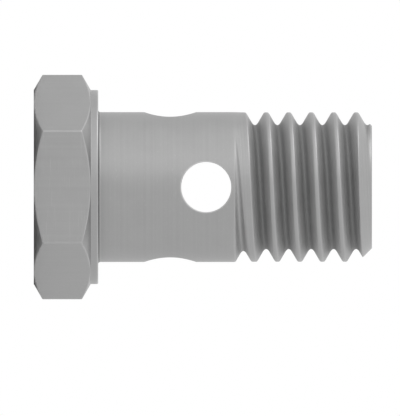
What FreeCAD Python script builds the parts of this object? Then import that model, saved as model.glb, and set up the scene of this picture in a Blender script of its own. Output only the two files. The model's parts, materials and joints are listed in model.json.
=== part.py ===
import FreeCAD, Part
import math
import os

# Banjo bolt: the hollow hexagon-head bolt that clamps a ring fitting to a port and
# feeds it through its own shank. Fluid comes up the blind bore from the tip and
# leaves through two cross holes into the ring round the shank.
# It is one turned and drilled piece, so it is one solid.
#
# Z is the axis. The bolt stands on its head: z = 0 is the outer face of the head,
# the tip points up, and two corners of the hexagon lie on X.
# The shank is plain until just past the cross holes. Then it tapers by a hair to the
# crests of its M10 x 1.5 thread, which the tolerance keeps a little under 10 mm across.
# All sizes are in millimetres and all angles in degrees.

# Hexagon head
HEX_ACROSS_FLATS = 13.0
HEX_HEIGHT = 3.8
HEAD_CHAMFER_ANGLE = 30.0       # between the chamfer and the faces of the head
FLAT_MARGIN = 0.03              # from the turned face circle to the flats of the hexagon
WASHER_FACE_HEIGHT = 0.5

# Shank, measured from the washer face
SHANK_DIAMETER = 10.0
SHANK_LENGTH = 18.25
PLAIN_LENGTH = 9.0              # at the full diameter
TAPER_LENGTH = 0.6              # from there down to the crests of the thread
SEAM_ANGLE = 52.5               # round Z from X, where its round faces close: clear of the holes

# Blind bore, drilled from the tip
BORE_DIAMETER = 6.25
DRILL_POINT_ANGLE = 120.0

# Cross holes, measured from the washer face to their centres
CROSS_HOLE_DIAMETER = 3.35
LOWER_CROSS_HOLE_LEVEL = 4.8    # along X
UPPER_CROSS_HOLE_LEVEL = 7.2    # along Y

# Right-handed thread, cut back from the tip
THREAD_DIAMETER = 9.968         # over the crests: the upper limit of tolerance class 6g
THREAD_PITCH = 1.5
THREAD_DEPTH = 0.85
THREAD_ANGLE = 60.0             # between the flanks
THREAD_ROOT_WIDTH = 0.25
THREAD_LENGTH = 8.37            # from the tip to where the groove starts to run out
THREAD_END_ANGLE = 43.2         # round Z from X, where the groove starts to run out
RUNOUT_TURNS = 0.5              # over which the groove comes up to the surface
CHAMFER_ALLOWANCE = 0.05        # by which the tip's 45 degree chamfer goes deeper than the thread

# How far a cutter runs past what it cuts
OVERRUN = 1.0

# What follows from the driving sizes
X = FreeCAD.Vector(1, 0, 0)
Y = FreeCAD.Vector(0, 1, 0)
Z = FreeCAD.Vector(0, 0, 1)
ORIGIN = FreeCAD.Vector(0, 0, 0)

hex_corner_radius = HEX_ACROSS_FLATS / 2 / math.cos(math.radians(30))
face_circle_radius = HEX_ACROSS_FLATS / 2 - FLAT_MARGIN
seat_level = HEX_HEIGHT + WASHER_FACE_HEIGHT
tip_level = seat_level + SHANK_LENGTH
tip_chamfer = THREAD_DEPTH + CHAMFER_ALLOWANCE

crest_radius = THREAD_DIAMETER / 2
root_radius = crest_radius - THREAD_DEPTH
flank_slope = math.tan(math.radians(THREAD_ANGLE / 2))
crest_width = THREAD_PITCH - THREAD_ROOT_WIDTH - 2 * THREAD_DEPTH * flank_slope

# The thread's cutter widens outwards, so it clears the shank by only half the height
# at which its turns would meet
thread_overrun = crest_width / 4 / flank_slope


def revolved(outline):
    """Solid of revolution about Z from (radius, level) points, closed along the axis."""
    points = [FreeCAD.Vector(radius, 0, level) for radius, level in outline]
    face = Part.Face(Part.makePolygon(points + points[:1]))
    return face.revolve(ORIGIN, Z, 360)


def hexagon_prism():
    """Bar of hexagon section, as long as the hexagon is high, with two corners on X."""
    corners = []
    for corner in range(6):
        turn = math.radians(60 * corner)
        place = FreeCAD.Vector(math.cos(turn), math.sin(turn), 0)
        corners.append(place * hex_corner_radius)
    return Part.Face(Part.makePolygon(corners + corners[:1])).extrude(Z * HEX_HEIGHT)


def chamfered_disc():
    """Disc with both rims chamfered, which takes the corners off both ends of the hexagon."""
    disc_radius = hex_corner_radius + OVERRUN
    drop = (disc_radius - face_circle_radius) * math.tan(math.radians(HEAD_CHAMFER_ANGLE))
    return revolved([
        (0, 0),
        (face_circle_radius, 0),
        (disc_radius, drop),
        (disc_radius, HEX_HEIGHT - drop),
        (face_circle_radius, HEX_HEIGHT),
        (0, HEX_HEIGHT),
    ])


def washer_face():
    """Low round land under the hexagon, which presses on the sealing washer."""
    return Part.makeCylinder(face_circle_radius, WASHER_FACE_HEIGHT, Z * HEX_HEIGHT)


def shank():
    """Round shank from the washer face to the chamfered tip, as turned before the thread."""
    radius = SHANK_DIAMETER / 2
    taper_level = seat_level + PLAIN_LENGTH
    turned = revolved([
        (0, seat_level),
        (radius, seat_level),
        (radius, taper_level),
        (crest_radius, taper_level + TAPER_LENGTH),
        (crest_radius, tip_level - tip_chamfer),
        (crest_radius - tip_chamfer, tip_level),
        (0, tip_level),
    ])
    turned.rotate(ORIGIN, Z, SEAM_ANGLE)
    return turned


def blind_bore():
    """Drill that comes in from the tip: full width down to the washer face, then its cone."""
    radius = BORE_DIAMETER / 2
    point_depth = radius / math.tan(math.radians(DRILL_POINT_ANGLE / 2))
    return revolved([
        (0, seat_level - point_depth),
        (radius, seat_level),
        (radius, tip_level + OVERRUN),
        (0, tip_level + OVERRUN),
    ])


def cross_hole(level, direction):
    """Drill that goes right through the shank, square to its axis and across the bore."""
    reach = SHANK_DIAMETER / 2 + OVERRUN
    start = Z * (seat_level + level) - direction * reach
    return Part.makeCylinder(CROSS_HOLE_DIAMETER / 2, 2 * reach, start, direction)


def helical_groove(helix):
    """Sweep of the thread's section along a helix that starts on X at z = 0."""
    height = THREAD_DEPTH + thread_overrun
    half_root = THREAD_ROOT_WIDTH / 2
    half_mouth = half_root + height * flank_slope
    corners = [
        FreeCAD.Vector(root_radius, 0, -half_root),
        FreeCAD.Vector(root_radius + height, 0, -half_mouth),
        FreeCAD.Vector(root_radius + height, 0, half_mouth),
        FreeCAD.Vector(root_radius, 0, half_root),
    ]
    section = Part.makePolygon(corners + corners[:1])
    make_solid = True
    follow_helix = True
    return Part.Wire(helix.Edges).makePipeShell([section], make_solid, follow_helix)


def thread_cutters():
    """Groove at full depth, which runs on past the tip, and its runout towards the head."""
    height = THREAD_LENGTH + THREAD_PITCH
    no_flare = 0
    full = helical_groove(Part.makeLongHelix(THREAD_PITCH, height, root_radius, no_flare))

    # A helix widens only upwards, so the runout's is made left-handed and turned over
    drop = RUNOUT_TURNS * THREAD_PITCH
    flare = math.degrees(math.atan((THREAD_DEPTH + thread_overrun) / drop))
    left_handed = True
    widening = Part.makeLongHelix(THREAD_PITCH, drop, root_radius, flare, left_handed)
    runout = helical_groove(widening.mirror(ORIGIN, Z))

    cutters = [full, runout]
    for cutter in cutters:
        cutter.rotate(ORIGIN, Z, THREAD_END_ANGLE)
        cutter.translate(Z * (tip_level - THREAD_LENGTH))
    return cutters


def banjo_bolt():
    """The whole bolt: head, washer face and shank, then the drillings and the thread."""
    head = hexagon_prism().common(chamfered_disc())
    blank = head.fuse([washer_face(), shank()]).removeSplitter()
    drillings = [
        blind_bore(),
        cross_hole(LOWER_CROSS_HOLE_LEVEL, X),
        cross_hole(UPPER_CROSS_HOLE_LEVEL, Y),
    ]
    return blank.cut(drillings + thread_cutters())


def main():
    """Build the bolt, report it and write it out."""
    os.makedirs("parts", exist_ok=True)
    bolt = banjo_bolt()
    solid = bolt.Solids[0]
    solid.exportStep("parts/banjo_bolt.step")
    box = solid.optimalBoundingBox()
    print("solids", len(bolt.Solids), "valid", solid.isValid(), "faces", len(solid.Faces))
    print("volume mm3", round(solid.Volume, 2), "size", box.XLength, box.YLength, box.ZLength)


main()
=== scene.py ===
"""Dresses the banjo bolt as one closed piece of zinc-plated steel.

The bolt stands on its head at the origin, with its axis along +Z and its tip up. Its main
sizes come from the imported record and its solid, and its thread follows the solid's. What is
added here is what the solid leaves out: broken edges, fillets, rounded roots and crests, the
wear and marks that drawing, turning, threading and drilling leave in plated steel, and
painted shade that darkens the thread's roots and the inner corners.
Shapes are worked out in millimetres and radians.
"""

import json
import logging
import math
from dataclasses import dataclass
from enum import Enum

import bpy
import numpy as np
from mathutils import Matrix, Vector

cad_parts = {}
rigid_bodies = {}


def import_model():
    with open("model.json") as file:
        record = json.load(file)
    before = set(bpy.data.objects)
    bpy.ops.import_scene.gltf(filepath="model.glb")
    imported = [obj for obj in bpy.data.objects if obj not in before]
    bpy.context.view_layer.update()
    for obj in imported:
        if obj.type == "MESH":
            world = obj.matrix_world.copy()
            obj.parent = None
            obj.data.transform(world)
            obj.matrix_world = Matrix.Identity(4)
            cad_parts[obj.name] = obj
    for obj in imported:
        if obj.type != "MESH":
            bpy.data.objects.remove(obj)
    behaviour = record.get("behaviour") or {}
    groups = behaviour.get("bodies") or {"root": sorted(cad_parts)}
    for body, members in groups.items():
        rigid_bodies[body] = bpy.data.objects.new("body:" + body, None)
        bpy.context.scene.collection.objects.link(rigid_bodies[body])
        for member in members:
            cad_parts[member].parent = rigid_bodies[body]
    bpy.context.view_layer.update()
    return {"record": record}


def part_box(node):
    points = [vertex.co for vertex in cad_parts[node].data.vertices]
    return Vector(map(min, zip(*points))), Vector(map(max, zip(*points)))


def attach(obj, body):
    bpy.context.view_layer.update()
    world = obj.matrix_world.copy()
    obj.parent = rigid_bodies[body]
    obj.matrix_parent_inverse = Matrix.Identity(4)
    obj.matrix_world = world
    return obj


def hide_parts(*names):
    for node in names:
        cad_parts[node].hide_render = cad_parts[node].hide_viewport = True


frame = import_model()

log = logging.getLogger("banjo_bolt")

NODE = "banjo_bolt"
MM = 0.001
TURN = 2 * math.pi
HEX_SIDE = TURN / 6             # angle that one side of a hexagon takes up
HALF_SIDE = TURN / 12
HALF_QUARTER = TURN / 8
WELD_STEPS_PER_MM = 1e5         # points that round to the same step are one
WELD_OFFSET = 0.37              # keeps equal points off the border between two steps

# The photograph's frame, in pixels of the 400 by 416 image
PHOTO_WIDTH = 400
PHOTO_HEIGHT = 416
PHOTO_MM_PER_PIXEL = 0.066684
PHOTO_HEAD_FACE_X = 33.75
PHOTO_AXIS_Y = 187.05


class Zone(Enum):
    """The tool that made a stretch of surface. The value is its material slot's index."""

    DRAWN = 0
    TURNED = 1
    THREADED = 2
    DRILLED = 3


@dataclass
class Patch:
    """A grid of points. A row's way crossed with a column's way points to the outside.

    Attributes:
        points: place of each point, (rows, columns, 3).
        marks: distance along and across the tool's marks, (rows, columns, 2).
        wear: up to 1 on an edge that hands and spanners rub, down to -1 in a hollow, which is darkened as
            painted shade, or 0.
        zone: the tool that made it.
        cut: 1 where the thread's tool has cut away the turned surface, 0 elsewhere.
    """

    points: np.ndarray
    marks: np.ndarray
    wear: np.ndarray
    zone: Zone
    cut: np.ndarray | None = None

    def __post_init__(self) -> None:
        """Leaves the whole patch uncut unless told otherwise."""
        if self.cut is None:
            self.cut = np.zeros(self.points.shape[:2])


@dataclass(frozen=True)
class BoltSizes:
    """Sizes of the whole bolt in millimetres, shared by its stretches."""

    across_flats: float
    tip_level: float
    seat_level: float
    shank_radius: float
    thread_start_level: float
    bore_radius: float
    bore_floor_level: float
    cross_hole_radius: float
    cross_hole_levels: tuple[float, float]
    hex_height: float = 3.8
    face_circle_margin: float = 0.03
    drill_point_angle: float = math.radians(120)
    shank_foot: float = 0.6
    taper_length: float = 0.6
    crest_radius: float = 4.984
    tip_chamfer: float = 0.9

    @classmethod
    def from_frame(cls) -> "BoltSizes":
        """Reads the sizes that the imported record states.

        Returns:
            The sizes, with the unstated ones at their defaults.
        """
        mounts = {mount["name"]: mount for mount in frame["record"]["mounts"]}
        low, high = (np.array(corner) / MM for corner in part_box(NODE))
        seat_level = mounts["seat"]["pos_m"][2] / MM
        bore = mounts["axial_bore"]["dims"]
        holes = [mounts[name] for name in ("lower_cross_hole", "upper_cross_hole")]
        return cls(
            across_flats=float(high[1] - low[1]),
            tip_level=float(high[2]),
            seat_level=seat_level,
            shank_radius=mounts["shank"]["dims"]["r_mm"],
            thread_start_level=seat_level + mounts["shank"]["dims"]["length_mm"],
            bore_radius=bore["r_mm"],
            bore_floor_level=float(high[2]) - bore["length_mm"],
            cross_hole_radius=holes[0]["dims"]["r_mm"],
            cross_hole_levels=(holes[0]["pos_m"][2] / MM, holes[1]["pos_m"][2] / MM),
        )

    @property
    def face_circle_radius(self) -> float:
        """Radius of the turned faces and of the washer face."""
        return self.across_flats / 2 - self.face_circle_margin

    @property
    def drilled_start_level(self) -> float:
        """Level where the foot of the shank ends and the stretch with cross holes starts."""
        return self.seat_level + self.shank_foot


@dataclass(frozen=True)
class HexagonSection:
    """Section of the drawn bar: a hexagon with slightly rounded corners, two of them on X."""

    across_flats: float
    corner_rounding: float = 0.15

    @property
    def corner_centre(self) -> float:
        """Distance from the axis to the centre of a corner's small arc."""
        return (self.across_flats / 2 - self.corner_rounding) / math.cos(HALF_SIDE)

    @property
    def tangent_angle(self) -> float:
        """Where a corner's arc meets the flat.

        Formula: the meeting point lies one rounding from the arc's centre, square to the flat.

        Returns:
            The angle from the corner.
        """
        along = self.corner_centre + self.corner_rounding * math.cos(HALF_SIDE)
        aside = self.corner_rounding * math.sin(HALF_SIDE)
        return math.atan2(aside, along)

    def from_corner(self, angles: np.ndarray) -> np.ndarray:
        """Signed angle from the nearest corner of the hexagon."""
        return (angles + HALF_SIDE) % HEX_SIDE - HALF_SIDE

    def radius(self, angles: np.ndarray) -> np.ndarray:
        """Distance from the axis to the outline.

        Formula: on a flat, the apothem over the cosine of the angle from the flat's middle.
        Near a corner, the far crossing of the ray with the corner's small circle.

        Args:
            angles: directions round the axis.

        Returns:
            The radius in each direction.
        """
        turn = np.abs(self.from_corner(angles))
        flat = self.across_flats / 2 / np.cos(HALF_SIDE - turn)
        under_root = self.corner_rounding ** 2 - (self.corner_centre * np.sin(turn)) ** 2
        arc = self.corner_centre * np.cos(turn) + np.sqrt(np.maximum(under_root, 0))
        return np.where(turn < self.tangent_angle, arc, flat)

    def along_flat(self, angles: np.ndarray) -> np.ndarray:
        """Distance along the outline's flat from its middle, for marks that follow the bar."""
        turn = self.from_corner(angles)
        return self.across_flats / 2 * np.tan(HALF_SIDE - np.abs(turn)) * np.sign(turn)


def column_angles(section: HexagonSection) -> np.ndarray:
    """Angles of the columns that every stretch of the bolt shares.

    Formula: an even spacing that holds every eighth and every sixth of a turn, and a few
    more angles on both sides of each corner of the hexagon.

    Args:
        section: the hexagon, whose corner arcs set the extra angles.

    Returns:
        Rising angles from 0 to one turn, both ends included.
    """
    even_columns = 192
    sides = 6
    tangents_from_corner = np.array([-1.6, -1.0, -0.5, 0.5, 1.0, 1.6])
    even = np.linspace(0, TURN, even_columns + 1)
    corners = np.arange(sides + 1)[:, None] * TURN / sides
    extra = (corners + section.tangent_angle * tangents_from_corner).ravel()
    inside = extra[(extra > 0) & (extra < TURN)]
    return np.unique(np.concatenate([even, inside]))


def turned(profile: np.ndarray, angles: np.ndarray) -> np.ndarray:
    """Points of a profile turned round the axis.

    Formula: x is the radius times the cosine of the angle, y is the radius times its sine,
    and z is the level.

    Args:
        profile: radius and level, (rows, columns, 2).
        angles: angle of each column, or of each point.

    Returns:
        Points, (rows, columns, 3).
    """
    radius, level = profile[..., 0], profile[..., 1]
    return np.stack([radius * np.cos(angles), radius * np.sin(angles), level], axis=-1)


def bend(start: np.ndarray, corner: np.ndarray, end: np.ndarray, rows: int) -> np.ndarray:
    """Rows of a small rounding that starts and ends along the two sides of a corner.

    Formula: the quadratic curve (1-t)(1-t) start + 2t(1-t) corner + t t end, close to an arc.

    Args:
        start: points where the rounding starts.
        corner: points of the sharp corner.
        end: points where it ends.
        rows: how many rows to return, both ends included.

    Returns:
        The rows, with one more leading axis than the points.
    """
    t = np.linspace(0, 1, rows).reshape((rows,) + (1,) * start.ndim)
    return (1 - t) ** 2 * start + 2 * t * (1 - t) * corner + t ** 2 * end


def wear_and_shade_over_rounding(rows: int, amount: np.ndarray | float) -> np.ndarray:
    """Wear above 0 and painted shade below 0 over the rows of a rounding: the full amount, and a third of
    it at both ends.

    Args:
        rows: how many rows the rounding has.
        amount: full wear when above 0 and full painted shade when below 0, for all columns or for each.

    Returns:
        The wear and painted shade, (rows, columns).
    """
    end_share = 1 / 3
    share = np.ones(rows)
    share[[0, -1]] = end_share
    return share[:, None] * amount


@dataclass(frozen=True)
class Corner:
    """A corner of a turned profile.

    Attributes:
        radius: radius of each column.
        level: level of each column.
        rounding: radius of the broken edge or fillet there.
        fill: rows spread over the straight stretch that leads to it.
    """

    radius: np.ndarray
    level: np.ndarray
    rounding: float = 0.0
    fill: int = 1


def rounded_profile(corners: list[Corner], columns: int) -> np.ndarray:
    """Profile through the corners, with each one rounded and held by a row on both sides.

    Formula: the rounding reaches rounding times the tangent of half the turn along each side,
    but never over nearly half of a side. The rows that hold it lie a little further out, so
    that the smooth shading of the edge doesn't spread over the face. Its wear and painted shade
    is the sine of the turn from one side to the next: wear above 0 on an edge, and painted
    shade below 0 in an inner corner.

    Args:
        corners: the profile's corners in order, the first and last of them its ends.
        columns: how many columns the bolt has.

    Returns:
        Radius, level, and wear above 0 with painted shade below 0, (rows, columns, 3).
    """
    bend_rows = 4
    most_of_side = 0.45
    hold = 0.05
    most_of_clear = 0.25
    spots = np.array([
        np.stack([np.broadcast_to(c.radius, columns), np.broadcast_to(c.level, columns)], axis=-1)
        for c in corners
    ])
    sides = np.diff(spots, axis=0)
    lengths = np.linalg.norm(sides, axis=-1)
    ways = sides / lengths[..., None]
    turns = np.arccos(np.clip((ways[:-1] * ways[1:]).sum(-1), -1, 1))
    wanted = np.array([c.rounding for c in corners[1:-1]])[:, None] * np.tan(turns / 2)
    reach = np.zeros(spots.shape[:2])
    reach[1:-1] = np.minimum(wanted, most_of_side * np.minimum(lengths[:-1], lengths[1:]))
    rows, wear = [], []
    for i, way in enumerate(ways):
        clear = lengths[i] - reach[i] - reach[i + 1]
        margin = np.minimum(hold, most_of_clear * clear)
        first = reach[i] + np.where(reach[i] > 0, margin, 0)
        last = lengths[i] - reach[i + 1] - np.where(reach[i + 1] > 0, margin, 0)
        share = np.linspace(0, 1, corners[i + 1].fill + 1)[:, None]
        distance = first + share * (last - first)
        rows.append(spots[i] + distance[..., None] * way)
        wear.append(np.zeros(distance.shape))
        if i + 2 < len(spots):
            onward = ways[i + 1]
            start = spots[i + 1] - reach[i + 1][:, None] * way
            end = spots[i + 1] + reach[i + 1][:, None] * onward
            rows.append(bend(start, spots[i + 1], end, bend_rows))
            # Wear on an outer edge, painted shade (below 0) in an inner corner.
            wear.append(wear_and_shade_over_rounding(bend_rows, way[:, 0] * onward[:, 1] - way[:, 1] * onward[:, 0]))
    return np.concatenate([np.concatenate(rows), np.concatenate(wear)[..., None]], axis=-1)


@dataclass(frozen=True)
class Stretch:
    """A stretch of the bolt. All of them have the same columns, so that they join.

    Attributes:
        sizes: sizes of the whole bolt.
        angles: angle of each column.
    """

    sizes: BoltSizes
    angles: np.ndarray

    def ringed(self, profile: np.ndarray, wall: float, zone: Zone) -> Patch:
        """Patch of a turned profile whose marks run round the axis.

        Formula: the marks are spaced along the profile by the sum of radius and level.

        Args:
            profile: radius, level and wear, (rows, columns, 3).
            wall: radius at which the distance along the marks is measured.
            zone: the tool that made it.

        Returns:
            The patch.
        """
        across = profile[..., 0] + profile[..., 1]
        around = np.broadcast_to(self.angles * wall, across.shape)
        marks = np.stack([around, across], axis=-1)
        return Patch(turned(profile, self.angles), marks, profile[..., 2], zone)


@dataclass(frozen=True)
class HexHead(Stretch):
    """The hexagon with its chamfers, the washer face and the foot of the shank."""

    section: HexagonSection
    chamfer_angle: float = math.radians(30)
    edge_break: float = 0.08
    washer_face_fillet: float = 0.04
    shank_fillet: float = 0.15
    corner_wear: float = 0.6

    def patches(self) -> list[Patch]:
        """Builds the head from the centre of its outer face to the foot of the shank.

        Formula: each column's profile runs out over the outer face, up the chamfer cone to
        the hexagon's own radius in that direction, up the flat, in along the upper cone, up
        the washer face's rim, and in over the seat to the shank.

        Returns:
            The turned faces and the drawn flats.
        """
        columns = len(self.angles)
        outline = self.section.radius(self.angles)
        face = self.sizes.face_circle_radius
        drop = (outline - face) * math.tan(self.chamfer_angle)
        height = self.sizes.hex_height
        seat = self.sizes.seat_level
        shank = self.sizes.shank_radius
        profile = rounded_profile([
            Corner(0.0, 0.0),
            Corner(face, 0.0, self.edge_break, fill=10),
            Corner(outline, drop, self.edge_break, fill=4),
            Corner(outline, height - drop, self.edge_break, fill=6),
            Corner(face, height, self.washer_face_fillet, fill=4),
            Corner(face, seat, self.edge_break, fill=3),
            Corner(shank, seat, self.shank_fillet, fill=6),
            Corner(shank, self.sizes.drilled_start_level, fill=2),
        ], columns)
        on_flats = np.flatnonzero(np.isclose(profile[..., 0], outline).all(axis=1))
        first, last = on_flats[0], on_flats[-1]
        return [
            self.ringed(profile[:first + 1], shank, Zone.TURNED),
            self.drawn(profile[first:last + 1]),
            self.ringed(profile[last:], shank, Zone.TURNED),
        ]

    def drawn(self, profile: np.ndarray) -> Patch:
        """Patch of the flats, whose marks run along the bar and are spaced along each flat.

        Args:
            profile: radius, level and wear, (rows, columns, 3).

        Returns:
            The patch, rubbed at the hexagon's corners.
        """
        across = np.broadcast_to(self.section.along_flat(self.angles), profile.shape[:2])
        marks = np.stack([profile[..., 1], across], axis=-1)
        corners = np.abs(self.section.from_corner(self.angles)) < self.section.tangent_angle
        wear = np.maximum(profile[..., 2], self.corner_wear * corners)
        return Patch(turned(profile, self.angles), marks, wear, Zone.DRAWN)


@dataclass(frozen=True)
class CrossHole(Stretch):
    """One mouth of a cross hole: a quarter of the shank's wall, the hole and the bore's wall.

    Attributes:
        direction: way that the mouth faces, as an angle round the axis.
        level: level of the hole's axis.
        side_rows: points up each side of the quarter.
        wall_shares: places of a wall's rows, from 0 at the quarter's edge to 1 at the hole.
    """

    direction: float
    level: float
    side_rows: int = 30
    mouth_rows: int = 5
    tunnel_rows: int = 6
    lip_rows: int = 4
    outer_break: float = 0.07
    inner_break: float = 0.05
    wall_shares: tuple[float, ...] = (0, 0.15, 0.3, 0.44, 0.57, 0.69, 0.79, 0.87, 0.93, 0.97, 1)

    def perimeter(self) -> np.ndarray:
        """Turn from the hole's direction and level of the points round the quarter's edge.

        Formula: over the columns at the bottom, up one side in even steps, back over the
        columns at the top and down the other side.

        Returns:
            Angle and level, (points, 2), once round with the first point again at the end.
        """
        same_angle = 1e-9
        turns = (self.angles[:-1] - self.direction + TURN / 2) % TURN - TURN / 2
        inside = np.sort(turns[np.abs(turns) < HALF_QUARTER - same_angle])
        across = np.concatenate([[-HALF_QUARTER], inside, [HALF_QUARTER]])
        low, high = self.sizes.drilled_start_level, self.sizes.thread_start_level
        levels = np.linspace(low, high, self.side_rows)
        bottom = np.stack([across, np.full_like(across, low)], axis=-1)
        right = np.stack([np.full_like(levels, HALF_QUARTER), levels], axis=-1)
        top = np.stack([across[::-1], np.full_like(across, high)], axis=-1)
        left = np.stack([np.full_like(levels, -HALF_QUARTER), levels[::-1]], axis=-1)
        return np.concatenate([bottom[:-1], right[:-1], top[:-1], left])

    def on_wall(self, wall: float, hole: float, around: np.ndarray) -> np.ndarray:
        """Points where a hole of some radius would cross a round wall.

        Formula: in the hole's own axes, the sideways offset is the hole's radius times the
        cosine, the level is its radius times the sine, and the reach along the hole's axis
        is the root of the wall's radius squared less the offset squared.

        Args:
            wall: radius of the round wall.
            hole: radius of the hole.
            around: angle round the hole.

        Returns:
            Reach, offset and level, (points, 3).
        """
        offset = hole * np.cos(around)
        level = self.level + hole * np.sin(around)
        return np.stack([np.sqrt(wall ** 2 - offset ** 2), offset, level], axis=-1)

    def wall_rows(self, wall: float, hole: float, around: np.ndarray, edge: np.ndarray) -> np.ndarray:
        """Rows on a round wall, from the quarter's edge in to a ring round the hole.

        Formula: angle and level are mixed between the edge and the ring in the wall's
        shares, which lie closer together near the ring.

        Args:
            wall: radius of the round wall.
            hole: radius of the ring round the hole.
            around: angle of each point round the hole.
            edge: angle and level of the quarter's edge.

        Returns:
            Points in the hole's own axes, (rows, points, 3).
        """
        ring = self.on_wall(wall, hole, around)
        inner = np.stack([np.arcsin(ring[:, 1] / wall), ring[:, 2]], axis=-1)
        mixed = edge + np.array(self.wall_shares)[:, None, None] * (inner - edge)
        turn, level = mixed[..., 0], mixed[..., 1]
        return np.stack([wall * np.cos(turn), wall * np.sin(turn), level], axis=-1)

    def placed(self, local: np.ndarray) -> np.ndarray:
        """Turns points from the hole's own axes to the bolt's.

        Formula: x is the reach times the direction's cosine less the offset times its sine,
        and y is the reach times the sine plus the offset times the cosine.

        Args:
            local: reach along the hole's axis, offset and level, (..., 3).

        Returns:
            The same points round the bolt's axis.
        """
        cosine, sine = math.cos(self.direction), math.sin(self.direction)
        x = local[..., 0] * cosine - local[..., 1] * sine
        y = local[..., 0] * sine + local[..., 1] * cosine
        return np.stack([x, y, local[..., 2]], axis=-1)

    def patches(self) -> list[Patch]:
        """Builds the quarter from the shank's wall through the hole to the bore's wall.

        Formula: the shank's wall ends on a ring a little wider than the hole. The broken edge
        bends from there into the hole, straight lines run down it, and another broken edge
        leads out to the rows of the bore's wall.

        Returns:
            The turned wall, the drilled tunnel and the drilled bore wall.
        """
        reach_axis, level_axis = 0, 2
        shank, bore = self.sizes.shank_radius, self.sizes.bore_radius
        hole = self.sizes.cross_hole_radius
        edge = self.perimeter()
        around = np.arctan2(edge[:, 1] - self.level, shank * edge[:, 0])
        outer = self.wall_rows(shank, hole + self.outer_break, around, edge)
        rim = self.on_wall(shank, hole, around)
        throat = self.on_wall(bore, hole, around)
        outward = np.array([1.0, 0.0, 0.0])
        mouth = bend(outer[-1], rim, rim - self.outer_break * outward, self.mouth_rows)
        share = np.linspace(0, 1, self.tunnel_rows)[:, None, None]
        tunnel_end = throat + self.inner_break * outward
        tunnel = mouth[-1] + share * (tunnel_end - mouth[-1])
        inner = self.wall_rows(bore, hole + self.inner_break, around, edge)[::-1]
        lip = bend(tunnel_end, throat, inner[0], self.lip_rows)
        wear = np.zeros((len(mouth) + len(tunnel) + len(lip) - 2, len(edge)))
        wear[:len(mouth)] = wear_and_shade_over_rounding(len(mouth), 1.0)
        wear[-len(lip):] = wear_and_shade_over_rounding(len(lip), 1.0)
        hole_rows = np.concatenate([mouth, tunnel[1:], lip[1:]])
        return [
            self.patch(outer, level_axis, np.zeros(outer.shape[:2]), Zone.TURNED),
            self.patch(hole_rows, reach_axis, wear, Zone.DRILLED),
            self.patch(inner, level_axis, np.zeros(inner.shape[:2]), Zone.DRILLED),
        ]

    def patch(self, local: np.ndarray, across_axis: int, wear: np.ndarray, zone: Zone) -> Patch:
        """Patch of points in the hole's own axes, with marks spaced along one of them.

        Formula: along the marks the points are only counted, since no pattern reads that way.

        Args:
            local: points in the hole's own axes, (rows, points, 3).
            across_axis: which of the three axes crosses the marks.
            wear: wear of each point.
            zone: the tool that made it.

        Returns:
            The patch in the bolt's axes.
        """
        along = np.broadcast_to(np.arange(local.shape[1], dtype=float), local.shape[:2])
        marks = np.stack([along, local[..., across_axis]], axis=-1)
        return Patch(self.placed(local), marks, wear, zone)


def soft_min(a: np.ndarray, b: np.ndarray, blend: np.ndarray | float) -> np.ndarray:
    """The lesser of two values, with the crease between them rounded.

    Formula: the lesser, less a quarter of the blend times the square of how near they are,
    which is 1 where they are equal and 0 where they differ by the blend or more.

    Args:
        a: first values.
        b: second values.
        blend: difference at which the rounding starts.

    Returns:
        The softened lesser values.
    """
    near = np.maximum(blend - np.abs(a - b), 0) / blend
    return np.minimum(a, b) - near ** 2 * blend / 4


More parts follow.
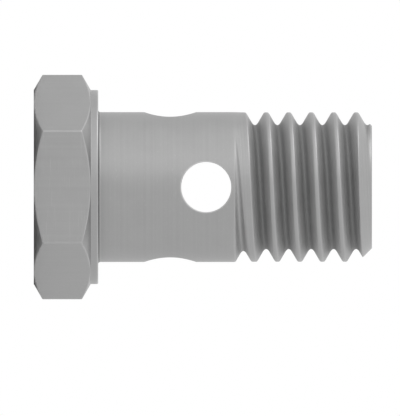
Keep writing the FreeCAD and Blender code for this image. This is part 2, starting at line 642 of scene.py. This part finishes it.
@dataclass(frozen=True)
class Thread(Stretch):
    """The right-hand 60 degree thread, from its runout to the chamfered tip.

    Attributes:
        pitch: rise of the groove in a turn.
        depth: depth of the groove.
        root_flat: width of the groove's flat bottom.
        flank_angle: between a flank and the square across the axis.
        groove_level: level at which turn 0 of the groove passes angle 0.
        runout_start: turn at which the groove starts, counted from there.
        runout_turns: turns that it takes to full depth.
        root_blend: softness of the corners at the root, in depth.
        crest_blend: softness of the corners at the crests, in depth.
        chamfer_blend: softness of the chamfer's edge.
        snap: distance from an end of the thread within which points are moved onto it.
        crest_wear: wear of the crests.
        crest_wear_depth: depth at which that wear is gone.
        cut_depth: depth of groove at which the surface is wholly the cutter's.
        cone_fade: depth below the chamfer's cone at which wear and cut are full.
    """

    pitch: float = 1.5
    depth: float = 0.85
    root_flat: float = 0.25
    flank_angle: float = math.radians(30)
    groove_level: float = 13.998
    runout_start: float = -0.38
    runout_turns: float = 0.5
    root_blend: float = 0.22
    crest_blend: float = 0.11
    chamfer_blend: float = 0.05
    snap: float = 0.004
    crest_wear: float = 0.15
    crest_wear_depth: float = 0.1
    cut_depth: float = 0.08
    cone_fade: float = 0.2

    def nearest_turn(self, turns: np.ndarray, levels: np.ndarray) -> tuple[np.ndarray, np.ndarray]:
        """Finds the turn of the groove that a point lies nearest to.

        Formula: the groove's centre rises by one pitch a turn. The level over that centre, in
        pitches, is split into the nearest whole number and the distance from it.

        Args:
            turns: angle of each point, in turns.
            levels: level of each point.

        Returns:
            Number of the groove's turn, and axial distance from its centre.
        """
        phase = (levels - self.groove_level) / self.pitch - turns
        lap = np.floor(phase + 0.5)
        return lap, np.abs(phase - lap) * self.pitch

    def groove(self, turns: np.ndarray, levels: np.ndarray) -> np.ndarray:
        """Depth of the groove below the wall that it is cut into.

        Formula: the cutter's form is flat at its end and rises at the flank angle on both
        sides of the groove's centre. At the start of the thread it is drawn back by a smooth
        share of its depth, so the groove narrows to nothing.

        Args:
            turns: angle of each point, in turns.
            levels: level of each point.

        Returns:
            Depth, 0 outside the groove.
        """
        smallest_cut = 1e-6
        lap, aside = self.nearest_turn(turns, levels)
        flank = self.depth - (aside - self.root_flat / 2) / math.tan(self.flank_angle)
        form = soft_min(flank, np.full_like(flank, self.depth), self.root_blend)
        run = np.clip((turns + lap - self.runout_start) / self.runout_turns, 0, 1)
        cut = run * run * (3 - 2 * run)
        blend = self.crest_blend * np.maximum(cut, smallest_cut)
        return -soft_min(-(form - (1 - cut) * self.depth), np.zeros_like(form), blend)

    def wall(self, levels: np.ndarray) -> np.ndarray:
        """Radius before the groove is cut: it tapers from the plain shank to the crests.

        Formula: the shank's radius less an even share of the taper over its length.

        Args:
            levels: level of each point.

        Returns:
            Radius at each level.
        """
        past = (levels - self.sizes.thread_start_level) / self.sizes.taper_length
        taper = self.sizes.shank_radius - self.sizes.crest_radius
        return self.sizes.shank_radius - taper * np.clip(past, 0, 1)

    def radius(self, turns: np.ndarray, levels: np.ndarray) -> np.ndarray:
        """Radius of the threaded shank, cut back by the 45 degree chamfer at the tip."""
        threaded = self.wall(levels) - self.groove(turns, levels)
        return soft_min(threaded, self.cone(levels), self.chamfer_blend)

    def cone(self, levels: np.ndarray) -> np.ndarray:
        """Radius of the chamfer's cone at some levels."""
        tip_radius = self.sizes.crest_radius - self.sizes.tip_chamfer
        return tip_radius + self.sizes.tip_level - levels

    def finish(self, turns: np.ndarray, levels: np.ndarray) -> tuple[np.ndarray, np.ndarray]:
        """Wear and painted shade, in one value, and cut of the threaded surface.

        Formula: below the crests the value is minus the groove's share of its full depth, so -1 at
        the root; this darkens the groove as painted shade. On the crests it is the crests' own wear,
        falling to 0 over a small depth. The cut rises from 0 to 1 over the first bit of the groove's
        depth. Both fade out where the groove comes up to the chamfer, and the plain wall has neither.

        Args:
            turns: angle of each point, in turns.
            levels: level of each point.

        Returns:
            Painted shade down to -1 and wear up to the crests' wear in one value, and cut from 0 to 1.
        """
        sunk = self.groove(turns, levels)
        drop = self.wall(levels) - self.radius(turns, levels)
        past_start = np.clip((levels - self.groove_level) / self.pitch, 0, 1)
        crest = self.crest_wear * past_start * np.clip(1 - drop / self.crest_wear_depth, 0, 1)
        below_cone = self.cone(levels) - (self.wall(levels) - sunk)
        clear = np.clip(below_cone / self.cone_fade, 0, 1)
        # The first value: the crests' wear, less the groove's share of its depth as painted shade.
        return crest - sunk / self.depth * clear, np.clip(sunk / self.cut_depth, 0, 1) * clear

    def row_offsets(self) -> np.ndarray:
        """Axial places of the rows of one pitch, from one groove's centre to the next's.

        Formula: close rows over the roundings of the root and the crest, wide ones on the
        flanks, mirrored about the middle of the crest.

        Returns:
            Offsets, from 0 up to but not including the pitch.
        """
        root_reach, root_rows = 0.3, 7
        crest_reach, crest_rows = 0.1, 6
        crest_edge = self.root_flat / 2 + self.depth * math.tan(self.flank_angle)
        root = np.linspace(0, root_reach, root_rows)
        flank = np.array([0.38, 0.46])
        crest = crest_edge + np.linspace(-crest_reach, crest_reach, crest_rows)
        half = np.concatenate([root, flank, crest])
        return np.concatenate([half, [self.pitch / 2], (self.pitch - half[:0:-1])])

    def patches(self) -> list[Patch]:
        """Builds the threaded stretch as rows that climb with the helix.

        Formula: each row keeps its place in the groove's form and rises by one pitch over
        the turn, so that its end meets the row one pitch further on. Rows are held between
        the two ends of the thread, where those that lie beyond collapse onto the end. The
        marks run along the helix, spaced by the distance from the groove's centre, so that
        they repeat with each pitch as one tool leaves them.

        Returns:
            The threaded surface.
        """
        low, high = self.sizes.thread_start_level, self.sizes.tip_level
        first = math.floor((low - self.groove_level) / self.pitch) - 1
        last = math.ceil((high - self.groove_level) / self.pitch)
        laps = np.arange(first, last + 1) * self.pitch
        starts = self.groove_level + (laps[:, None] + self.row_offsets()).ravel()
        turns = np.broadcast_to(self.angles / TURN, (len(starts), len(self.angles)))
        levels = starts[:, None] + self.pitch * turns
        levels = np.where(levels < low + self.snap, low, levels)
        levels = np.where(levels > high - self.snap, high, levels)
        radii = self.radius(turns, levels)
        points = turned(np.stack([radii, levels], axis=-1), self.angles)
        across = self.nearest_turn(turns, levels)[1]
        marks = np.stack([turns * TURN * self.sizes.shank_radius, across], axis=-1)
        wear, cut = self.finish(turns, levels)
        return [Patch(points, marks, wear, Zone.THREADED, cut)]


@dataclass(frozen=True)
class TipAndBore(Stretch):
    """The tip's flat face, the bore's mouth and wall, and the drill's cone at its floor."""

    thread: Thread
    mouth_break: float = 0.07
    tip_break: float = 0.04
    floor_fillet: float = 0.1

    def patches(self) -> list[Patch]:
        """Builds the face from the chamfer in, the wall down to the cross holes, and the cone.

        Formula: one profile runs in over the face and down the wall to the level where the
        cross holes' stretch ends. The other goes on below it, and in to the drill's point at
        the floor's level less the bore's radius over the tangent of half the drill's angle.

        Returns:
            The turned tip face, the upper bore wall and the bore's floor.
        """
        columns = len(self.angles)
        bore, tip = self.sizes.bore_radius, self.sizes.tip_level
        outer = self.thread.radius(self.angles / TURN, np.full(columns, tip))
        face = rounded_profile([
            Corner(outer, tip),
            Corner(outer - self.tip_break, tip, fill=1),
            Corner(bore, tip, self.mouth_break, fill=3),
            Corner(bore, self.sizes.thread_start_level, fill=8),
        ], columns)
        floor = self.sizes.bore_floor_level
        point = floor - bore / math.tan(self.sizes.drill_point_angle / 2)
        cone = rounded_profile([
            Corner(bore, self.sizes.drilled_start_level),
            Corner(bore, floor, self.floor_fillet, fill=2),
            Corner(0.0, point, fill=10),
        ], columns)
        return [
            self.ringed(face, bore, Zone.TURNED),
            self.ringed(cone, bore, Zone.DRILLED),
        ]


@dataclass
class Skin:
    """Joins patches into one closed mesh."""

    patches: list[Patch]

    def joined(self, what: str, width: int) -> np.ndarray:
        """One list of all the patches' points, marks, wear and painted shade, or cut."""
        return np.concatenate([getattr(patch, what).reshape(-1, width) for patch in self.patches])

    def quads(self) -> tuple[np.ndarray, np.ndarray]:
        """Lists the four corners of all the patches' cells.

        Formula: a cell goes from a point to the next in its row, then to the points beside
        those two in the next row, and back.

        Returns:
            Indices of the corners, and the material slot of each cell.
        """
        corners, slots, start = [], [], 0
        for patch in self.patches:
            rows, columns = patch.points.shape[:2]
            index = start + np.arange(rows * columns).reshape(rows, columns)
            cell = np.stack([index[:-1, :-1], index[:-1, 1:], index[1:, 1:], index[1:, :-1]], axis=-1)
            corners.append(cell.reshape(-1, 4))
            slots.append(np.full(len(corners[-1]), patch.zone.value))
            start += rows * columns
        return np.concatenate(corners), np.concatenate(slots)

    def build(self, name: str) -> bpy.types.Object:
        """Welds equal points, drops cells that have collapsed and writes the mesh.

        Formula: points are equal where their places round to the same step. A cell with two
        equal neighbours is a triangle, and one with more of them is left out.

        Args:
            name: name of the object and its mesh.

        Returns:
            The object, at the origin and in metres.
        """
        points, marks = self.joined("points", 3), self.joined("marks", 2)
        corners, slots = self.quads()
        keys = np.round(points * WELD_STEPS_PER_MM + WELD_OFFSET).astype(np.int64)
        _, chosen, welded = np.unique(keys, axis=0, return_index=True, return_inverse=True)
        ids = welded.reshape(-1)[corners]
        repeats = ids == np.roll(ids, -1, axis=1)
        crossed = (ids[:, 0] == ids[:, 2]) | (ids[:, 1] == ids[:, 3])
        whole = ~repeats.any(axis=1) & ~crossed
        folded = (repeats.sum(axis=1) == 1) & ~crossed
        keep = ~repeats[folded]
        triangles = ids[folded][keep].reshape(-1, 3)
        faces = ids[whole].tolist() + triangles.tolist()
        mesh = bpy.data.meshes.new(name)
        mesh.from_pydata(points[chosen] * MM, [], faces)
        mesh.polygons.foreach_set("material_index", np.concatenate([slots[whole], slots[folded]]))
        mesh.polygons.foreach_set("use_smooth", np.ones(len(faces), dtype=bool))
        spots = [marks[corners[whole]].reshape(-1, 2), marks[corners[folded][keep]]]
        layer = mesh.uv_layers.new(name="tool_path")
        layer.data.foreach_set("uv", np.concatenate(spots).astype(np.float32).ravel())
        for what in ("wear", "cut"):
            share = mesh.attributes.new(name=what, type="FLOAT", domain="POINT")
            share.data.foreach_set("value", self.joined(what, 1)[chosen].astype(np.float32).ravel())
        mesh.update()
        return added(name, mesh)


def added(name: str, data: bpy.types.ID) -> bpy.types.Object:
    """Adds an object to the scene.

    Args:
        name: the object's name.
        data: its mesh, lamp or camera.

    Returns:
        The object.
    """
    thing = bpy.data.objects.new(name, data)
    bpy.context.collection.objects.link(thing)
    return thing


class Sheet:
    """The node sheet of a material or the world, with one short call for a node and its inputs."""

    def __init__(self, owner: bpy.types.Material | bpy.types.World) -> None:
        """Starts an empty sheet.

        Args:
            owner: the material or world that the sheet belongs to.
        """
        owner.use_nodes = True
        self.tree = owner.node_tree
        self.tree.nodes.clear()

    def add(self, kind: str, inputs: dict | None = None, **settings: object) -> bpy.types.Node:
        """Adds a node.

        Args:
            kind: the node's type.
            inputs: a value or another node's output for each input, by name or number.
            settings: the node's own properties.

        Returns:
            The new node.
        """
        node = self.tree.nodes.new(kind)
        for key, value in settings.items():
            setattr(node, key, value)
        for key, value in (inputs or {}).items():
            if isinstance(value, bpy.types.NodeSocket):
                self.tree.links.new(value, node.inputs[key])
            else:
                node.inputs[key].default_value = value
        return node

    def math(self, operation: str, *values: object) -> bpy.types.NodeSocket:
        """Adds a math node and returns its result."""
        return self.add("ShaderNodeMath", dict(enumerate(values)), operation=operation).outputs[0]

    def times(self, value: bpy.types.NodeSocket, factor: object) -> bpy.types.NodeSocket:
        """Multiplies a result by a number or by another result."""
        return self.math("MULTIPLY", value, factor)

    def total(self, first: float, *values: bpy.types.NodeSocket) -> bpy.types.NodeSocket:
        """Adds any number of results to a first value.

        Args:
            first: the first value.
            values: the results to add.

        Returns:
            Their sum.
        """
        total = first
        for value in values:
            total = self.math("ADD", total, value)
        return total

    def spread(self, value: bpy.types.NodeSocket, low: float, high: float) -> bpy.types.NodeSocket:
        """Stretches a value from 0 to 1 over another range."""
        inputs = {"Value": value, "To Min": low, "To Max": high}
        return self.add("ShaderNodeMapRange", inputs).outputs[0]

    def swing(self, value: bpy.types.NodeSocket, reach: float) -> bpy.types.NodeSocket:
        """Stretches a value from 0 to 1 evenly to both sides of 0."""
        return self.spread(value, -reach, reach)

    def hairlines(self, place: bpy.types.NodeSocket, turn: tuple[float, ...]) -> bpy.types.NodeSocket:
        """Thin straight scratches along one direction: 1 on a scratch and 0 beside it.

        Formula: noise stretched to a scratch's length along the turned X and to its width
        across it, of which only the highest peaks are kept.

        Args:
            place: place in space, in metres.
            turn: the turn of the scratches' direction round X, Y and Z.

        Returns:
            The share of a scratch at each place.
        """
        length, width = 2.5 * MM, 0.05 * MM
        peak_start, peak_top = 0.66, 0.78
        scale = (1 / length, 1 / width, 1 / width)
        inputs = {"Vector": place, "Rotation": turn, "Scale": scale}
        stretched = self.add("ShaderNodeMapping", inputs).outputs[0]
        peaks = self.add("ShaderNodeTexNoise", {"Vector": stretched, "Scale": 1.0, "Detail": 1.0})
        inputs = {"Value": peaks.outputs[0], "From Min": peak_start, "From Max": peak_top}
        return self.add("ShaderNodeMapRange", inputs).outputs[0]

    def noise(self, place: bpy.types.NodeSocket, size: float, detail: float) -> bpy.types.NodeSocket:
        """Adds noise over a place in space, or along a single distance.

        Args:
            place: the place or the distance.
            size: size of its grain, in the same unit.
            detail: how many finer layers it has.

        Returns:
            The noise, between 0 and 1.
        """
        over_space = place.type == "VECTOR"
        inputs = {"Vector" if over_space else "W": place, "Scale": 1 / size, "Detail": detail}
        dimensions = "3D" if over_space else "1D"
        return self.add("ShaderNodeTexNoise", inputs, noise_dimensions=dimensions).outputs[0]


@dataclass(frozen=True)
class SteelFinish:
    """Satin zinc-plated steel as one tool leaves it. Lengths are in millimetres.

    Attributes:
        name: the material's name.
        grey: reflected share of white light.
        roughness: middle roughness.
        mark_pitch: spacing of the tool's marks.
        mark_depth: height of the marks.
        mark_shade: how far the marks change the roughness and the colour.
        cloud_size: size of the plating's cloudy patches.
        cloud_shade: how far the clouds change the colour.
        cloud_roughness: how far they change the roughness.
        grain_size: size of the plating's fine grain.
        grain_height: height of the grain, as a share of the marks' own.
        grain_roughness: how far the grain changes the roughness.
        edge_shine: how much lighter a rubbed edge is.
        edge_cover: least and most of an edge's wear that the clouds leave.
        painted_hollow_shade: painted shade, how much darker the bottom of a groove or an inner corner is.
        hollow_power: how closely that keeps to the bottom.
        hollow_roughness: how much rougher the bottom is.
        scratch_shine: how much lighter a scratch is.
        scratch_depth: depth of a scratch, as a share of the marks' height.
        polish: how much smoother rubbed edges and scratches are.
        cut_shade: how much lighter the steel is where the thread's tool has cut.
        cut_roughness: how much rougher it is there.
    """

    name: str
    grey: float
    roughness: float
    mark_pitch: float
    mark_depth: float
    mark_shade: float
    cloud_size: float = 1.6
    cloud_shade: float = 0.05
    cloud_roughness: float = 0.05
    grain_size: float = 0.045
    grain_height: float = 0.2
    grain_roughness: float = 0.03
    edge_shine: float = 0.14
    edge_cover: tuple[float, float] = (0.4, 1.6)
    # Painted shade: how much darker grooves and inner corners are painted.
    painted_hollow_shade: float = 0.5
    hollow_power: float = 3.0
    hollow_roughness: float = 0.08
    scratch_shine: float = 0.10
    scratch_depth: float = 0.5
    polish: float = 0.08
    cut_shade: float = 0.17
    cut_roughness: float = 0.20

    def material(self) -> bpy.types.Material:
        """Builds the material: tool marks, clouds and grain in the plating, scratches, wear, and painted
        shade in hollows.

        Formula: the roughness is the middle one plus what each of these adds, and the colour
        is the grey times 1 plus what each adds. The bump is the marks and the grain less the
        scratches.

        Returns:
            The material.
        """
        material = bpy.data.materials.new(self.name)
        sheet = Sheet(material)
        path = sheet.add("ShaderNodeUVMap", uv_map="tool_path").outputs["UV"]
        across = sheet.add("ShaderNodeSeparateXYZ", {0: path}).outputs["Y"]
        place = sheet.add("ShaderNodeTexCoord").outputs["Object"]
        lines = sheet.noise(across, self.mark_pitch, detail=3.0)
        clouds = sheet.noise(place, self.cloud_size * MM, detail=3.0)
        grain = sheet.noise(place, self.grain_size * MM, detail=2.0)
        scratches = sheet.math(
            "MAXIMUM",
            sheet.hairlines(place, turn=(0.3, 0.9, 0.5)),
            sheet.hairlines(place, turn=(1.1, -0.4, 2.2)),
        )
        height = sheet.total(
            0.0,
            lines,
            sheet.times(grain, self.grain_height),
            sheet.times(scratches, -self.scratch_depth),
        )
        bump = sheet.add("ShaderNodeBump", {
            "Strength": 1.0,
            "Distance": self.mark_depth * MM,
            "Height": height,
        }).outputs[0]
        # The wear attribute holds wear above 0 and painted shade below 0.
        wear = sheet.add("ShaderNodeAttribute", attribute_name="wear").outputs["Fac"]
        cut = sheet.add("ShaderNodeAttribute", attribute_name="cut").outputs["Fac"]
        rubbing = sheet.math("MAXIMUM", wear, 0.0)
        edge = sheet.times(rubbing, sheet.spread(clouds, *self.edge_cover))
        # The hollows' share roughens the steel and, as painted shade, darkens its colour.
        sinking = sheet.math("MAXIMUM", sheet.times(wear, -1.0), 0.0)
        hollow = sheet.math("POWER", sinking, self.hollow_power)
        rough = sheet.total(
            self.roughness,
            sheet.swing(lines, self.mark_shade),
            sheet.swing(grain, self.grain_roughness),
            sheet.swing(clouds, self.cloud_roughness),
            sheet.times(edge, -self.polish),
            sheet.times(scratches, -self.polish),
            sheet.times(hollow, self.hollow_roughness),
            sheet.times(cut, self.cut_roughness),
        )
        shade = sheet.total(
            1.0,
            sheet.swing(clouds, self.cloud_shade),
            sheet.swing(lines, self.mark_shade),
            sheet.times(edge, self.edge_shine),
            sheet.times(scratches, self.scratch_shine),
            # Painted shade: darker in grooves and inner corners.
            sheet.times(hollow, -self.painted_hollow_shade),
            sheet.times(cut, self.cut_shade),
        )
        steel = sheet.add("ShaderNodeBsdfPrincipled", {
            "Base Color": sheet.times(shade, self.grey),
            "Metallic": 1.0,
            "Roughness": rough,
            "Normal": bump,
        })
        sheet.add("ShaderNodeOutputMaterial", {"Surface": steel.outputs[0]})
        return material


FINISHES = {
    Zone.DRAWN: SteelFinish(
        "drawn_flats",
        grey=0.385, roughness=0.42, mark_pitch=0.35, mark_depth=0.0050, mark_shade=0.07,
    ),
    Zone.TURNED: SteelFinish(
        "turned_steel",
        grey=0.38, roughness=0.40, mark_pitch=0.22, mark_depth=0.0035, mark_shade=0.06,
    ),
    Zone.THREADED: SteelFinish(
        "cut_thread",
        grey=0.38, roughness=0.40, mark_pitch=0.07, mark_depth=0.0050, mark_shade=0.18,
    ),
    Zone.DRILLED: SteelFinish(
        "drilled_steel",
        grey=0.50, roughness=0.45, mark_pitch=0.30, mark_depth=0.0060, mark_shade=0.07,
    ),
}


@dataclass(frozen=True)
class BanjoBolt:
    """The whole bolt: its stretches, joined into one closed body and dressed."""

    sizes: BoltSizes

    def build(self) -> bpy.types.Object:
        """Builds the body and gives each zone its finish.

        Returns:
            The bolt's object.
        """
        section = HexagonSection(self.sizes.across_flats)
        angles = column_angles(section)
        head = HexHead(self.sizes, angles, section)
        thread = Thread(self.sizes, angles)
        bore = TipAndBore(self.sizes, angles, thread)
        patches = head.patches() + thread.patches() + bore.patches()
        for quarter in range(4):
            patches += CrossHole(
                self.sizes,
                angles,
                direction=quarter * TURN / 4,
                level=self.sizes.cross_hole_levels[quarter % 2],
            ).patches()
        body = Skin(patches).build("bolt_body")
        for zone in Zone:
            body.data.materials.append(FINISHES[zone].material())
        return body


@dataclass(frozen=True)
class Studio:
    """The pale floor, the soft lamps, the white background and the camera, in metres."""

    floor_size: float = 3.0
    floor_grey: float = 0.86
    floor_gap: float = 0.00002
    world_level: float = 0.85
    lamp_distance: float = 0.45
    lamp_side: float = 0.34
    middle_height: float = 0.011
    camera_distance: float = 0.25
    camera_near: float = 0.01
    camera_far: float = 5.0

    def build(self) -> None:
        """Builds everything round the bolt."""
        self.floor()
        self.world()
        self.lamp("high_side", direction=(-0.86, -0.10, 0.50), level=1.0)
        self.lamp("front_side", direction=(-0.62, -0.76, 0.18), level=0.50)
        self.camera()

    def floor(self) -> None:
        """Lays a large plain floor a hair under the head, so that no two faces coincide."""
        half, level = self.floor_size / 2, -self.floor_gap
        corners = [(-half, -half, level), (half, -half, level), (half, half, level), (-half, half, level)]
        mesh = bpy.data.meshes.new("floor")
        mesh.from_pydata(corners, [], [(0, 1, 2, 3)])
        material = bpy.data.materials.new("pale_floor")
        sheet = Sheet(material)
        paint = sheet.add("ShaderNodeBsdfDiffuse", {"Color": (self.floor_grey,) * 3 + (1.0,)})
        sheet.add("ShaderNodeOutputMaterial", {"Surface": paint.outputs[0]})
        mesh.materials.append(material)
        floor = added("floor", mesh)

    def world(self) -> None:
        """Lights the scene evenly, and shows white to the camera and to reflections."""
        world = bpy.data.worlds.new("studio")
        bpy.context.scene.world = world
        sheet = Sheet(world)
        ray = sheet.add("ShaderNodeLightPath")
        seen = ray.outputs["Is Camera Ray"]
        for name in ("Is Glossy Ray", "Is Transmission Ray"):
            seen = sheet.math("MAXIMUM", seen, ray.outputs[name])
        strength = sheet.spread(seen, self.world_level, 1.0)
        light = sheet.add("ShaderNodeBackground", {"Color": (1.0,) * 4, "Strength": strength})
        sheet.add("ShaderNodeOutputWorld", {"Surface": light.outputs[0]})

    def lamp(self, name: str, direction: tuple[float, float, float], level: float) -> None:
        """Hangs a square soft lamp that faces the middle of the bolt.

        Formula: a lamp as bright as the background gives pi watts for each square metre.

        Args:
            name: the lamp's name.
            direction: the way from the bolt's middle to the lamp.
            level: its brightness, where 1 is as bright as the white background.
        """
        data = bpy.data.lights.new(name, "AREA")
        data.shape = "SQUARE"
        data.size = self.lamp_side
        data.energy = level * math.pi * self.lamp_side ** 2
        lamp = added(name, data)
        away = Vector(direction).normalized()
        lamp.location = Vector((0.0, 0.0, self.middle_height)) + away * self.lamp_distance
        lamp.rotation_euler = away.to_track_quat("Z", "Y").to_euler()

    def camera(self) -> None:
        """Sets the flat camera of the drawing: square to the axis, with the tip at the right.

        Formula: the frame's middle is as far from the head's outer face and from the axis as
        in the drawing, in pixels times the size of a pixel.
        """
        scale = PHOTO_MM_PER_PIXEL * MM
        data = bpy.data.cameras.new("photo_camera")
        data.type = "ORTHO"
        data.ortho_scale = PHOTO_HEIGHT * scale
        data.clip_start = self.camera_near
        data.clip_end = self.camera_far
        camera = added("photo_camera", data)
        across = (PHOTO_WIDTH / 2 - PHOTO_HEAD_FACE_X) * scale
        down = (PHOTO_HEIGHT / 2 - PHOTO_AXIS_Y) * scale
        right, up, back = Vector((0, 0, 1)), Vector((-1, 0, 0)), Vector((0, -1, 0))
        camera.rotation_euler = Matrix((right, up, back)).transposed().to_euler()
        camera.location = (down, -self.camera_distance, across)
        bpy.context.scene.camera = camera


def main() -> None:
    """Builds the bolt and its studio, and notes the bolt's counts of points and faces."""
    logging.basicConfig(level=logging.INFO, format="%(name)s: %(message)s")
    body = BanjoBolt(BoltSizes.from_frame()).build()
    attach(body, "root")
    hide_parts(NODE)
    log.info("bolt body: %d points, %d faces", len(body.data.vertices), len(body.data.polygons))
    Studio().build()
    log.info("studio ready")
    bpy.context.scene.view_settings.view_transform = "Standard"


if __name__ == "__main__":
    main()
